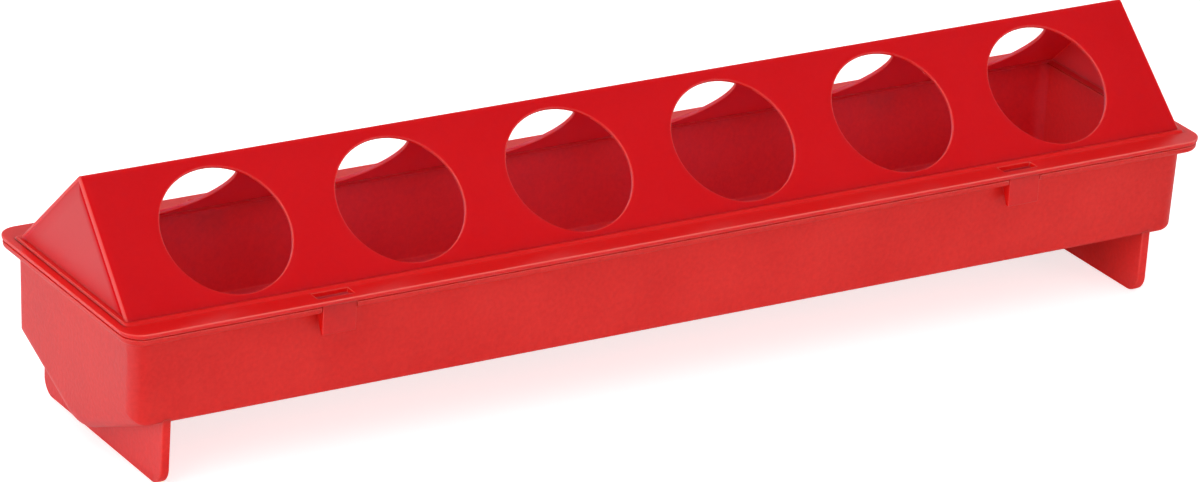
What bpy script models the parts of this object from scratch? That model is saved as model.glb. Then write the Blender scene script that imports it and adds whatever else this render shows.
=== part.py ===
"""A long chick feeder: an open pan on two foot plates under a gabled lid with feeding holes.

Sizes are in metres. +Z is up, X runs along the feeder, and the ground is at Z = 0.
The trough and the lid are one moulding each. The lid's flange lies on the trough's lip, and
four hooks on the flange pass notches in the lip and catch under it. The lid snaps off upwards.
"""

import math

import bmesh
import bpy
from mathutils import Matrix

# Fit between the two mouldings
CLEARANCE = 0.0003

# Flange of the lid, which sets the feeder's length and width
LID_LENGTH = 0.3000
LID_WIDTH = 0.0697
LID_CORNER_RADIUS = 0.0054
FLANGE_THICKNESS = 0.0012
FLANGE_ROUNDING = 0.0005

# Lip round the trough's rim: how far it stands out, and how far the flange covers it
LIP_THICKNESS = 0.0017
LIP_END_REACH = 0.0031
LIP_SIDE_REACH = 0.00355
LIP_SETBACK = 0.0003
LIP_UNDER_ROUNDING = 0.0012

# Trough: its walls and its shallow V bottom
RIM_HEIGHT = 0.0401
TROUGH_WALL = 0.0012
WALL_DRAFT = math.radians(1.41)
KNEE_HEIGHT = 0.0167
VALLEY_SLOPE = math.radians(23.3)
TROUGH_CORNER_RADIUS = 0.0040
END_BOTTOM_RADIUS = 0.0042
KNEE_RADIUS = 0.0016
KEEL_RADIUS = 0.0115
SMALLEST_FILLET = 0.0003

# Foot plates across the trough, near its ends
FOOT_THICKNESS = 0.0024
FOOT_FROM_END = 0.0080
FOOT_CORNER_RADIUS = 0.0045
FOOT_SIDE_INSET = 0.0001
FOOT_EDGE_RADIUS = 0.0004

# Roof: the flange that it leaves free, its slope and its walls
FREE_FLANGE_END = 0.00315
FREE_FLANGE_SIDE = 0.00695
ROOF_SLOPE = math.radians(43.0)
GABLE_LEAN = math.radians(2.3)
ROOF_WALL = 0.0010
RIDGE_RADIUS = 0.0007
GABLE_EDGE_RADIUS = 0.0006

# Low step between the roof and the flange
STEP_HEIGHT = 0.0005
STEP_SIDE_LEDGE = 0.0011
STEP_END_LEDGE = 0.0009
STEP_CORNER_RADIUS = 0.0012

# Sunk panel in each gable
GABLE_BORDER = 0.0009
GABLE_RECESS = 0.0005

# Feeding holes, the same row on both slopes
HOLE_COUNT = 6
HOLE_PITCH = 0.0459
HOLE_DIAMETER = 0.0325
HOLE_FROM_RIDGE = 0.0195

# Snap hooks under the flange and the moulding windows above them
HOOK_FROM_MIDDLE = 0.0955
HOOK_WIDTH = 0.0088
HOOK_PLATE = 0.0019
HOOK_SETBACK = 0.0003
HOOK_DROP = 0.0073
HOOK_FOOT = 0.0008
HOOK_TIP_CUT = 0.0003
BARB_REACH = 0.0010
BARB_FACE = 0.0010
WINDOW_LENGTH = 0.0096
WINDOW_WIDTH = 0.0034

# Facets of the round parts
CORNER_STEPS = 8
ROUNDING_SEGMENTS = 5
EDGE_SEGMENTS = 3
HOLE_SIDES = 48

# How far a cutter runs past the face it opens
OVERRUN = 0.0020

TROUGH_COLOUR = (0.62, 0.022, 0.020, 1.0)
LID_COLOUR = (0.62, 0.008, 0.012, 1.0)

# Turns an outline drawn in X and Y into one in Y and Z that is pushed along X
ACROSS = Matrix(((0, 0, 1, 0), (1, 0, 0, 0), (0, 1, 0, 0), (0, 0, 0, 1)))

# Sizes and heights that follow
TROUGH_LENGTH = LID_LENGTH - 2 * (LIP_SETBACK + LIP_END_REACH)
TROUGH_WIDTH = LID_WIDTH - 2 * (LIP_SETBACK + LIP_SIDE_REACH)
ROOF_LENGTH = LID_LENGTH - 2 * FREE_FLANGE_END
ROOF_WIDTH = LID_WIDTH - 2 * FREE_FLANGE_SIDE
LID_UNDERSIDE = RIM_HEIGHT + CLEARANCE
FLANGE_TOP = LID_UNDERSIDE + FLANGE_THICKNESS
RIDGE_HEIGHT = FLANGE_TOP + ROOF_WIDTH / 2 * math.tan(ROOF_SLOPE)
LIP_UNDERSIDE = RIM_HEIGHT - LIP_THICKNESS


def clear_scene():
    """Removes every object that the open file holds."""
    for item in list(bpy.data.objects):
        bpy.data.objects.remove(item, do_unlink=True)


def new_collection(name):
    """A collection linked into the scene."""
    collection = bpy.data.collections.new(name)
    bpy.context.scene.collection.children.link(collection)
    return collection


def plastic(name, colour, roughness):
    """A moulded plastic finish."""
    finish = bpy.data.materials.new(name)
    finish.use_nodes = True
    shader = finish.node_tree.nodes["Principled BSDF"]
    shader.inputs["Base Color"].default_value = colour
    shader.inputs["Roughness"].default_value = roughness
    shader.inputs["Metallic"].default_value = 0.0
    return finish


def rounded_rectangle(length, width, radius):
    """Outline in X and Y, with an arc at each corner."""
    points = []
    for quarter, (side_x, side_y) in enumerate(((1, 1), (-1, 1), (-1, -1), (1, -1))):
        for step in range(CORNER_STEPS + 1):
            angle = math.radians(90 * (quarter + step / CORNER_STEPS))
            x = side_x * (length / 2 - radius) + radius * math.cos(angle)
            y = side_y * (width / 2 - radius) + radius * math.sin(angle)
            points.append((x, y))
    return points


def extruded(name, outline, low, high, collection, across=False):
    """A closed outline pushed from low to high along Z, or along X for one drawn across."""
    curve = bpy.data.curves.new(name, "CURVE")
    curve.dimensions = "2D"
    curve.fill_mode = "BOTH"
    curve.extrude = (high - low) / 2
    spline = curve.splines.new("POLY")
    spline.points.add(len(outline) - 1)
    for point, (u, v) in zip(spline.points, outline):
        point.co = (u, v, 0.0, 1.0)
    spline.use_cyclic_u = True

    guide = bpy.data.objects.new(name + "_outline", curve)
    lift = Matrix.Translation((0.0, 0.0, (low + high) / 2))
    guide.matrix_world = ACROSS @ lift if across else lift
    bpy.context.scene.collection.objects.link(guide)
    bpy.context.view_layer.update()
    evaluated = guide.evaluated_get(bpy.context.evaluated_depsgraph_get())
    mesh = bpy.data.meshes.new_from_object(evaluated)
    mesh.name = name
    mesh.transform(guide.matrix_world)
    bpy.data.objects.remove(guide, do_unlink=True)

    body = bmesh.new()
    body.from_mesh(mesh)
    bmesh.ops.remove_doubles(body, verts=body.verts, dist=1e-6)
    bmesh.ops.dissolve_limit(body, angle_limit=1e-3, verts=body.verts, edges=body.edges)
    bmesh.ops.recalc_face_normals(body, faces=body.faces)
    body.to_mesh(mesh)
    body.free()
    piece = bpy.data.objects.new(name, mesh)
    collection.objects.link(piece)
    return piece


def lean_ends(piece, slope, height):
    """Tilts the faces at both ends: out by slope for each metre above the height."""
    for vertex in piece.data.vertices:
        end = math.copysign(1.0, vertex.co.x)
        vertex.co.x += end * slope * (vertex.co.z - height)


def round_edges(piece, radius_of, segments):
    """Rounds each edge to the radius that radius_of gives for it, where 0 leaves it sharp."""
    body = bmesh.new()
    body.from_mesh(piece.data)
    weight = body.edges.layers.float.new("bevel_weight_edge")
    offsets = [radius_of(edge) * math.tan(edge.calc_face_angle() / 2) for edge in body.edges]
    widest = max(offsets)
    for edge, offset in zip(body.edges, offsets):
        edge[weight] = offset / widest
    body.to_mesh(piece.data)
    body.free()
    rounding = piece.modifiers.new("rounding", "BEVEL")
    rounding.limit_method = "WEIGHT"
    rounding.width = widest
    rounding.segments = segments


def mirrored(piece, along_x, along_y):
    """Repeats a piece at the other end, on the other side, or both."""
    mirror = piece.modifiers.new("mirror", "MIRROR")
    mirror.use_axis = (along_x, along_y, False)
    mirror.merge_threshold = 0.00001
    return piece


def block(name, low, high, collection):
    """A box between two opposite corners."""
    body = bmesh.new()
    size = [b - a for a, b in zip(low, high)]
    middle = [(a + b) / 2 for a, b in zip(low, high)]
    place = Matrix.Translation(middle) @ Matrix.Diagonal((*size, 1.0))
    bmesh.ops.create_cube(body, size=1.0, matrix=place)
    mesh = bpy.data.meshes.new(name)
    body.to_mesh(mesh)
    body.free()
    piece = bpy.data.objects.new(name, mesh)
    collection.objects.link(piece)
    return piece


def boolean(piece, helper, operation):
    """Joins a helper shape to a piece, or cuts it out, and keeps the helper out of renders."""
    helper.hide_render = True
    helper.display_type = "WIRE"
    step = piece.modifiers.new(helper.name, "BOOLEAN")
    step.operation = operation
    step.solver = "EXACT"
    step.object = helper


def half_width_at(height, inset=0.0):
    """Half the trough's width at a height, inside its outer face by the inset."""
    outside = TROUGH_WIDTH / 2 - (RIM_HEIGHT - height) * math.tan(WALL_DRAFT)
    return outside - inset / math.cos(WALL_DRAFT)


def pan(name, inset, top, collection):
    """A solid pan with leaning walls and a V bottom, inside the trough's outer faces by inset."""
    draft = math.tan(WALL_DRAFT)
    valley = math.tan(VALLEY_SLOPE)
    keel = KNEE_HEIGHT - valley * half_width_at(KNEE_HEIGHT) + inset / math.cos(VALLEY_SLOPE)
    knee_y = half_width_at(keel, inset) / (1 - draft * valley)
    knee_z = keel + valley * knee_y
    top_y = half_width_at(top, inset)
    outline = [(0.0, keel), (knee_y, knee_z), (top_y, top), (-top_y, top), (-knee_y, knee_z)]
    reach = TROUGH_LENGTH / 2 - inset / math.cos(WALL_DRAFT)
    piece = extruded(name, outline, -reach, reach, collection, across=True)
    lean_ends(piece, draft, RIM_HEIGHT)

    def radius_of(edge):
        """Rim sharp, keel and knees along the bottom, upright corners, and bottom ends."""
        start, end = (vertex.co for vertex in edge.verts)
        if min(start.z, end.z) > (top + knee_z) / 2:
            return 0.0
        if abs(start.x - end.x) > reach:
            radius = KEEL_RADIUS if abs(start.y) < knee_y / 2 else KNEE_RADIUS
        elif abs(start.z - end.z) > (top - knee_z) / 2:
            radius = TROUGH_CORNER_RADIUS
        else:
            radius = END_BOTTOM_RADIUS
        return max(radius - inset, SMALLEST_FILLET)

    round_edges(piece, radius_of, ROUNDING_SEGMENTS)
    return piece


def foot_outline():
    """A foot plate seen from the end: flush with the walls, round at its lower corners."""
    top = KNEE_HEIGHT + 2 * TROUGH_WALL
    low = half_width_at(0.0) - FOOT_SIDE_INSET
    high = half_width_at(top) - FOOT_SIDE_INSET
    points = [(high, top), (-high, top)]
    for side in (-1, 1):
        for step in range(CORNER_STEPS + 1):
            turn = step if side < 0 else CORNER_STEPS - step
            angle = math.radians(90 * turn / CORNER_STEPS)
            y = low - FOOT_CORNER_RADIUS + FOOT_CORNER_RADIUS * math.cos(angle)
            z = FOOT_CORNER_RADIUS - FOOT_CORNER_RADIUS * math.sin(angle)
            points.append((side * y, z))
    return points


def make_trough(parts, helpers):
    """The pan, its lip and its two foot plates as one moulding."""
    trough = pan("trough", 0.0, RIM_HEIGHT - LIP_THICKNESS / 2, parts)

    foot_face = TROUGH_LENGTH / 2 - FOOT_FROM_END
    feet = extruded(
        "foot_plates", foot_outline(), foot_face - FOOT_THICKNESS, foot_face, helpers, across=True
    )

    def foot_radius(edge):
        """The edges round both faces are round, but not those across the plate or its top."""
        start, end = (vertex.co for vertex in edge.verts)
        across_plate = abs(start.x - end.x) > FOOT_THICKNESS / 2
        at_top = min(start.z, end.z) > KNEE_HEIGHT
        return 0.0 if across_plate or at_top else FOOT_EDGE_RADIUS

    round_edges(feet, foot_radius, EDGE_SEGMENTS)
    boolean(trough, mirrored(feet, True, False), "UNION")

    lip_outline = rounded_rectangle(
        LID_LENGTH - 2 * LIP_SETBACK,
        LID_WIDTH - 2 * LIP_SETBACK,
        LID_CORNER_RADIUS - LIP_SETBACK,
    )
    lip = extruded("lip", lip_outline, LIP_UNDERSIDE, RIM_HEIGHT, helpers)

    def lip_radius(edge):
        """Only the outer edge of the lip's underside is round."""
        low = max(vertex.co.z for vertex in edge.verts) < LIP_UNDERSIDE + LIP_THICKNESS / 2
        return LIP_UNDER_ROUNDING if low else 0.0

    round_edges(lip, lip_radius, EDGE_SEGMENTS)
    boolean(trough, lip, "UNION")

    boolean(trough, pan("pan_hollow", TROUGH_WALL, RIM_HEIGHT + OVERRUN, helpers), "DIFFERENCE")

    hook_inner = LID_WIDTH / 2 - HOOK_SETBACK - HOOK_PLATE
    notch = block(
        "hook_notches",
        (
            HOOK_FROM_MIDDLE - HOOK_WIDTH / 2 - CLEARANCE,
            -LID_WIDTH / 2 - OVERRUN,
            LIP_UNDERSIDE - OVERRUN,
        ),
        (
            HOOK_FROM_MIDDLE + HOOK_WIDTH / 2 + CLEARANCE,
            -hook_inner + CLEARANCE,
            RIM_HEIGHT + OVERRUN,
        ),
        helpers,
    )
    boolean(trough, mirrored(notch, True, True), "DIFFERENCE")
    return trough


def gable_outline(base, inset):
    """The roof seen from the end, from a base height up, inside its slopes by the inset."""
    ridge = RIDGE_HEIGHT - inset / math.cos(ROOF_SLOPE)
    half = (ridge - base) / math.tan(ROOF_SLOPE)
    return [(-half, base), (half, base), (0.0, ridge)]


def gable_block(name, base, inset, low, high, collection):
    """A length of roof between two places along X, with ends that lean in as the gables do."""
    piece = extruded(name, gable_outline(base, inset), low, high, collection, across=True)
    lean_ends(piece, -math.tan(GABLE_LEAN), FLANGE_TOP)
    return piece


def round_roof(roof, inset):
    """Rounds a roof block's ridge, and outside also the sloping edges of its gables."""
    ridge = max(RIDGE_RADIUS - inset, SMALLEST_FILLET)
    gable = GABLE_EDGE_RADIUS if inset == 0.0 else 0.0
    middle = (RIDGE_HEIGHT + FLANGE_TOP) / 2

    def roof_radius(edge):
        """The ridge by its height, the gables' edges by their rise, and none along the base."""
        heights = [vertex.co.z for vertex in edge.verts]
        if min(heights) > middle:
            return ridge
        return gable if max(heights) > middle else 0.0

    round_edges(roof, roof_radius, EDGE_SEGMENTS)


def feeding_holes(collection):
    """Round cutters square to the front slope, in a row along the ridge, and again behind."""
    body = bmesh.new()
    face_y = -HOLE_FROM_RIDGE * math.cos(ROOF_SLOPE)
    face_z = RIDGE_HEIGHT - HOLE_FROM_RIDGE * math.sin(ROOF_SLOPE)
    for number in range(HOLE_COUNT):
        x = (number - (HOLE_COUNT - 1) / 2) * HOLE_PITCH
        place = Matrix.Translation((x, face_y, face_z)) @ Matrix.Rotation(ROOF_SLOPE, 4, "X")
        bmesh.ops.create_cone(
            body,
            cap_ends=True,
            segments=HOLE_SIDES,
            radius1=HOLE_DIAMETER / 2,
            radius2=HOLE_DIAMETER / 2,
            depth=2 * (ROOF_WALL + OVERRUN),
            matrix=place,
        )
    mesh = bpy.data.meshes.new("feeding_holes")
    body.to_mesh(mesh)
    body.free()
    mesh.shade_smooth()
    piece = bpy.data.objects.new("feeding_holes", mesh)
    collection.objects.link(piece)
    return mirrored(piece, False, True)


def hook_outline():
    """A front hook seen from the end: a plate whose inner side has a barb and then thins out."""
    outer = -LID_WIDTH / 2 + HOOK_SETBACK
    inner = outer + HOOK_PLATE
    tip = inner + BARB_REACH
    root = LID_UNDERSIDE + FLANGE_THICKNESS / 2
    foot = LID_UNDERSIDE - HOOK_DROP
    catch = LIP_UNDERSIDE - CLEARANCE
    return [
        (outer, root),
        (outer, foot + HOOK_TIP_CUT),
        (outer + HOOK_TIP_CUT, foot),
        (outer + HOOK_FOOT, foot),
        (tip, catch - BARB_FACE),
        (tip, catch),
        (inner, catch),
        (inner, root),
    ]


def make_lid(parts, helpers):
    """The flange, step, pierced roof and snap hooks as one moulding."""
    lid = extruded(
        "lid",
        rounded_rectangle(LID_LENGTH, LID_WIDTH, LID_CORNER_RADIUS),
        LID_UNDERSIDE,
        FLANGE_TOP,
        parts,
    )

    def flange_radius(edge):
        """Only the rim of the flange's top face is round."""
        top = min(vertex.co.z for vertex in edge.verts) > (LID_UNDERSIDE + FLANGE_TOP) / 2
        return FLANGE_ROUNDING if top else 0.0

    round_edges(lid, flange_radius, EDGE_SEGMENTS)

    step_outline = rounded_rectangle(
        ROOF_LENGTH + 2 * STEP_END_LEDGE, ROOF_WIDTH + 2 * STEP_SIDE_LEDGE, STEP_CORNER_RADIUS
    )
    middle = LID_UNDERSIDE + FLANGE_THICKNESS / 2
    boolean(lid, extruded("step", step_outline, middle, FLANGE_TOP + STEP_HEIGHT, helpers), "UNION")

    roof = gable_block("roof", middle, 0.0, -ROOF_LENGTH / 2, ROOF_LENGTH / 2, helpers)
    round_roof(roof, 0.0)
    boolean(lid, roof, "UNION")

    hook_low = HOOK_FROM_MIDDLE - HOOK_WIDTH / 2
    hook = extruded(
        "hooks", hook_outline(), hook_low, hook_low + HOOK_WIDTH, helpers, across=True
    )
    boolean(lid, mirrored(hook, True, True), "UNION")

    hollow_end = ROOF_LENGTH / 2 - GABLE_RECESS - ROOF_WALL
    hollow = gable_block(
        "roof_hollow", LID_UNDERSIDE - OVERRUN, ROOF_WALL, -hollow_end, hollow_end, helpers
    )
    round_roof(hollow, ROOF_WALL)
    boolean(lid, hollow, "DIFFERENCE")

    panel_floor = ROOF_LENGTH / 2 - GABLE_RECESS
    panel_base = FLANGE_TOP + STEP_HEIGHT + GABLE_BORDER
    panel = gable_block(
        "gable_panels", panel_base, GABLE_BORDER, panel_floor, panel_floor + OVERRUN, helpers
    )
    boolean(lid, mirrored(panel, True, False), "DIFFERENCE")

    boolean(lid, feeding_holes(helpers), "DIFFERENCE")

    window_outer = LID_WIDTH / 2 - HOOK_SETBACK - HOOK_PLATE
    window = block(
        "hook_windows",
        (
            HOOK_FROM_MIDDLE - WINDOW_LENGTH / 2,
            -window_outer,
            LID_UNDERSIDE - OVERRUN,
        ),
        (
            HOOK_FROM_MIDDLE + WINDOW_LENGTH / 2,
            -window_outer + WINDOW_WIDTH,
            FLANGE_TOP + OVERRUN,
        ),
        helpers,
    )
    boolean(lid, mirrored(window, True, True), "DIFFERENCE")
    return lid


clear_scene()
feeder = new_collection("chick_feeder")
cutters = new_collection("cutters")
make_trough(feeder, cutters).data.materials.append(plastic("trough_red", TROUGH_COLOUR, 0.42))
make_lid(feeder, cutters).data.materials.append(plastic("lid_red", LID_COLOUR, 0.22))
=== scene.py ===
"""Dresses the chick feeder: a long pan on two foot plates under a pierced gable lid.

Every surface is worked out with numpy, on a grid or as a profile carried round a loop,
and stands in for the plain CAD solid of the same moulding.
Part frame: X along the ridge, -Y the slope in the photograph, +Z up, ground at Z = 0.
Lengths are in metres.
"""

import logging
import math
from dataclasses import dataclass, replace
from enum import Enum

import bmesh
import bpy
import numpy as np
from mathutils import Matrix, Vector

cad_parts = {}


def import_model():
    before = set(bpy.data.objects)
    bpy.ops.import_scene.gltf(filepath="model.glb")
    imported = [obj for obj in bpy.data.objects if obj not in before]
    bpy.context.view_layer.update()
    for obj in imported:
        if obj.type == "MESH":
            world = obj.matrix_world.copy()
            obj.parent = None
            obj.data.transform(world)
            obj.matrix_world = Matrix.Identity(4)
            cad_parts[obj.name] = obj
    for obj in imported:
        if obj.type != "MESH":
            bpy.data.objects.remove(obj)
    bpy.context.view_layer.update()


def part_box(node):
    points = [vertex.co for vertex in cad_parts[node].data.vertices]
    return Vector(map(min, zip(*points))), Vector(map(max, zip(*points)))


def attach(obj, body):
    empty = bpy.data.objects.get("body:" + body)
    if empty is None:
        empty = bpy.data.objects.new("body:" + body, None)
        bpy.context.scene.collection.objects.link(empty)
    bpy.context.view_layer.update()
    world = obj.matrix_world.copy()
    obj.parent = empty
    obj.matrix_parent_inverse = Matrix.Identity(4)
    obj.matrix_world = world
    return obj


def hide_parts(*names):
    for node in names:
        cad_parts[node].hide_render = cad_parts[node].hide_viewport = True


log = logging.getLogger("chick_feeder")

MM = 0.001
WELD = 2e-6  # points closer than this become one
HAIR = 0.02 * MM  # keeps two faces from lying in one place
BOTH_SIDES = (1, -1)
PLATE_EDGE_STEPS = 5
SHARP = math.radians(40.0)  # edges that turn by more than this stay sharp

Colour = tuple[float, float, float]
Size = tuple[float, float, float]  # a loop's half length, half width and corner radius
LoopSize = tuple[float, float, float, float]  # the same and its height
Feed = float | tuple[float, ...] | bpy.types.NodeSocket


class Slot(Enum):
    """Material slots of the record."""

    TROUGH = "trough_red"
    LID = "lid_red"


class Body(Enum):
    """Mouldings that move on their own."""

    TROUGH = "trough"
    LID = "lid"


@dataclass(frozen=True)
class Envelope:
    """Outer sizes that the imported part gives."""

    half_length: float
    half_width: float
    rim_z: float
    ridge_z: float

    @classmethod
    def from_frame(cls) -> "Envelope":
        """Reads the boxes of the two packed mouldings.

        Returns:
            The sizes in metres.
        """
        lid_high = [float(value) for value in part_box("lid")[1]]
        trough_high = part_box("trough")[1]
        return cls(lid_high[0], lid_high[1], float(trough_high[2]), lid_high[2])


@dataclass(frozen=True)
class Fit:
    """Sizes where the lid and the trough meet."""

    clearance: float = 0.3 * MM
    setback: float = 0.3 * MM
    corner_radius: float = 5.4 * MM
    flange_thickness: float = 1.2 * MM
    lip_thickness: float = 1.7 * MM
    hook_middle: float = 95.5 * MM
    hook_width: float = 8.8 * MM
    hook_plate: float = 1.9 * MM


def arc(start: float, end: float, steps: int) -> np.ndarray:
    """Angles from start to end in degrees, both included, given back in radians."""
    return np.radians(np.linspace(start, end, steps + 1))


def share(steps: int) -> np.ndarray:
    """Even shares from 0 to 1, both included."""
    return np.linspace(0.0, 1.0, steps + 1)


def spots(*axes: np.ndarray | float) -> np.ndarray:
    """Places whose coordinates are given axis by axis, with single values spread over all."""
    return np.stack(np.broadcast_arrays(*axes), axis=-1)


def quarter(steps: int) -> np.ndarray:
    """A row of 1 - cos t and 1 - sin t for each angle t of a quarter circle, from 0 to 90."""
    turn = arc(0, 90, steps)
    return spots(1 - np.cos(turn), 1 - np.sin(turn))


def grown(size: Size, by: float) -> Size:
    """The size of a loop that runs all round another one, further out by an amount."""
    return (size[0] + by, size[1] + by, size[2] + by)


def add_object(name: str, data: bpy.types.ID) -> bpy.types.Object:
    """A new object in the scene, made of a mesh, lamp or camera.

    Args:
        name: its name.
        data: what it shows.

    Returns:
        The object.
    """
    made = bpy.data.objects.new(name, data)
    bpy.context.scene.collection.objects.link(made)
    return made


class Patches:
    """Grids and flat caps that together make one closed surface."""

    def __init__(self) -> None:
        """Starts with no points and no faces."""
        self.points: list[np.ndarray] = []
        self.quads: list[np.ndarray] = []
        self.caps: list[np.ndarray] = []
        self.painted_light: list[np.ndarray] = []
        self.count = 0

    def _add(self, points: np.ndarray, painted_light: np.ndarray | None = None) -> np.ndarray:
        """Stores points, with the painted light on each one, and gives back their numbers.

        Args:
            points: an array of places.
            painted_light: one value for each place, painted highlight above 0 and painted shade
                below 0.

        Returns:
            The points' numbers.
        """
        flat = points.reshape(-1, 3)
        numbers = np.arange(len(flat)) + self.count
        self.points.append(flat)
        self.painted_light.append(np.zeros(len(flat)) if painted_light is None else painted_light.ravel())
        self.count += len(flat)
        return numbers

    def grid(
        self,
        points: np.ndarray,
        keep: np.ndarray | None = None,
        wrap: bool = False,
        painted_light: np.ndarray | None = None,
    ) -> None:
        """Adds a grid of points as quads.

        Args:
            points: rows x columns x 3 array of places.
            keep: mask of the quads that are kept, one fewer each way than the points.
            wrap: whether the last column joins the first.
            painted_light: painted highlight on each point, up to 1, or painted shade, as a value
                below 0.
        """
        if wrap:
            points = np.concatenate([points, points[:, :1]], axis=1)
            painted_light = painted_light if painted_light is None else np.concatenate([painted_light, painted_light[:, :1]], axis=1)
        rows, columns = points.shape[:2]
        index = self._add(points, painted_light).reshape(rows, columns)
        quads = np.stack([index[:-1, :-1], index[:-1, 1:], index[1:, 1:], index[1:, :-1]], axis=-1)
        mask = np.ones((rows - 1, columns - 1), bool) if keep is None else keep
        self.quads.append(quads[mask])

    def cap(self, outline: np.ndarray) -> None:
        """Adds one flat face with the outline as its edge."""
        self.caps.append(self._add(outline))

    def to_object(self, name: str) -> bpy.types.Object:
        """Welds the patches into one closed mesh object with smooth shading.

        Args:
            name: the piece's name.

        Returns:
            The new object, linked to the scene, at the origin.
        """
        mesh = bpy.data.meshes.new(name)
        faces = [*np.concatenate(self.quads).tolist(), *(cap.tolist() for cap in self.caps)]
        mesh.from_pydata(np.concatenate(self.points), [], faces)
        # Painted highlight and painted shade go into a point attribute that the materials read.
        painted_light = mesh.attributes.new("painted_light", "FLOAT", "POINT")
        painted_light.data.foreach_set("value", np.concatenate(self.painted_light))
        shape = bmesh.new()
        shape.from_mesh(mesh)
        bmesh.ops.remove_doubles(shape, verts=shape.verts, dist=WELD)
        bmesh.ops.dissolve_degenerate(shape, edges=shape.edges, dist=WELD)
        bmesh.ops.recalc_face_normals(shape, faces=shape.faces)
        open_edges = sum(1 for edge in shape.edges if len(edge.link_faces) != 2)
        shape.to_mesh(mesh)
        shape.free()
        mesh.polygons.foreach_set("use_smooth", np.ones(len(mesh.polygons), bool))
        mesh.set_sharp_from_angle(angle=SHARP)
        made = add_object(name, mesh)
        weighted = made.modifiers.new("face_weighted_normals", "WEIGHTED_NORMAL")
        weighted.keep_sharp = True
        log.info("%s: %d faces, %d edges not shared by two", name, len(mesh.polygons), open_edges)
        return made


@dataclass(frozen=True)
class LoopPlan:
    """Where the points of every level loop round a moulding stand.

    A loop is a rectangle with quarter-circle corners. Its long sides have points at fixed
    places near the middle, so that notches and windows stay straight, and evenly spread
    ones from there to the corner.
    """

    gaps: tuple[tuple[float, float], ...]
    even_half: float = 110 * MM
    even_steps: int = 22
    spread_steps: int = 6
    corner_steps: int = 10
    end_steps: int = 14

    @classmethod
    def with_gaps(cls, middle: float, half_gap: float) -> "LoopPlan":
        """A plan with two gaps on each long side, at the same distance from the middle."""
        low, high = middle - half_gap, middle + half_gap
        return cls(gaps=((-high, -low), (low, high)))

    def stations(self) -> tuple[np.ndarray, np.ndarray]:
        """Fixed places along X, doubled at each side of a gap, and which ones are in a gap.

        Of two places at one side of a gap, the rank puts the outer one outside.

        Returns:
            The places, and for each whether it is in a gap.
        """
        even = np.linspace(-self.even_half, self.even_half, self.even_steps + 1)
        for low, high in self.gaps:
            even = even[(even < low) | (even > high)]
        doubled = [(low, low, (low + high) / 2, high, high) for low, high in self.gaps]
        count = len(self.gaps)
        places = np.concatenate([even, np.ravel(doubled)])
        outside = np.zeros(len(even), bool)
        inside = np.concatenate([outside, np.tile([False, True, True, True, False], count)])
        rank = np.concatenate([np.zeros(len(even)), np.tile([-1.0, 0.5, 0.0, -0.5, 1.0], count)])
        order = np.lexsort((rank, places))
        return places[order], inside[order]

    def along(self, limit: float | np.ndarray) -> np.ndarray:
        """Places along X out to a limit on each side, one row of them for each limit.

        Args:
            limit: half the length between the corners, or several of them.

        Returns:
            An array with one more axis than limit.
        """
        places, _ = self.stations()
        limit = np.asarray(limit, float)[..., None]
        outer = self.even_half + (limit - self.even_half) * share(self.spread_steps)[1:]
        fixed = np.broadcast_to(places, (*limit.shape[:-1], len(places)))
        return np.concatenate([-outer[..., ::-1], fixed, outer], axis=-1)

    def in_gap(self) -> np.ndarray:
        """For each point of a loop, whether it lies in a gap.

        Returns:
            An array of truth values.
        """
        _, flags = self.stations()
        spread = np.zeros(self.spread_steps, bool)
        rest = np.zeros(2 * self.corner_steps + self.end_steps - 1, bool)
        half = np.concatenate([spread, flags, spread, rest])
        return np.concatenate([half, half])

    def loop(self, half_x: float, half_y: float, radius: float, z: float) -> np.ndarray:
        """One level loop, anticlockwise from above, from the left end of the front side.

        Args:
            half_x: half the length.
            half_y: half the width.
            radius: corner radius.
            z: height.

        Returns:
            An n x 3 array.
        """
        side = spots(self.along(half_x - radius), -half_y, z)
        inwards, back = quarter(self.corner_steps)[1:].T
        bend = spots(half_x - radius * back, radius * inwards - half_y, z)
        end = self.end_points(half_x, half_y - radius, z)
        half = np.concatenate([side, bend, end, (bend * [1, -1, 1])[::-1]])
        return np.concatenate([half, half * [-1, -1, 1]])

    def end_points(self, half_x: float, half_y: float, z: float) -> np.ndarray:
        """The inner points of a loop's right end, from front to back."""
        return spots(half_x, np.linspace(-1, 1, self.end_steps + 1)[1:-1] * half_y, z)


def edge_profile(size: Size, z: float, bend: float, turn: np.ndarray) -> list[LoopSize]:
    """Loop sizes round an edge: the bend's centre plus its radius at each angle.

    Args:
        size: size of the loop through the bend's centre.
        z: its height.
        bend: the radius of the rounding, seen across the edge.
        turn: angles in radians, 0 outwards and 90 degrees up.

    Returns:
        One loop size for each angle.
    """
    return [(*grown(size, bend * np.cos(t)), z + bend * np.sin(t)) for t in turn]


def eased_edge(
    size: Size, z: float, runs: tuple[float, float], rise: float, turn: np.ndarray
) -> list[LoopSize]:
    """Loop sizes along a quarter of an ellipse that is drawn in by more at the sides or ends.

    At angle t the loop is drawn in by run(1 - cos t) and stands rise sin t above the start.

    Args:
        size: size of the loop where the ellipse stands upright.
        z: height there.
        runs: how far it is drawn in at the ends and at the sides.
        rise: how high it goes.
        turn: angles in radians, 90 degrees at the top.

    Returns:
        One loop size for each angle.
    """
    drawn = np.array([runs[0], runs[1], runs[0]])
    return [(*(size - drawn * (1 - np.cos(t))), z + rise * np.sin(t)) for t in turn]


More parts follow.
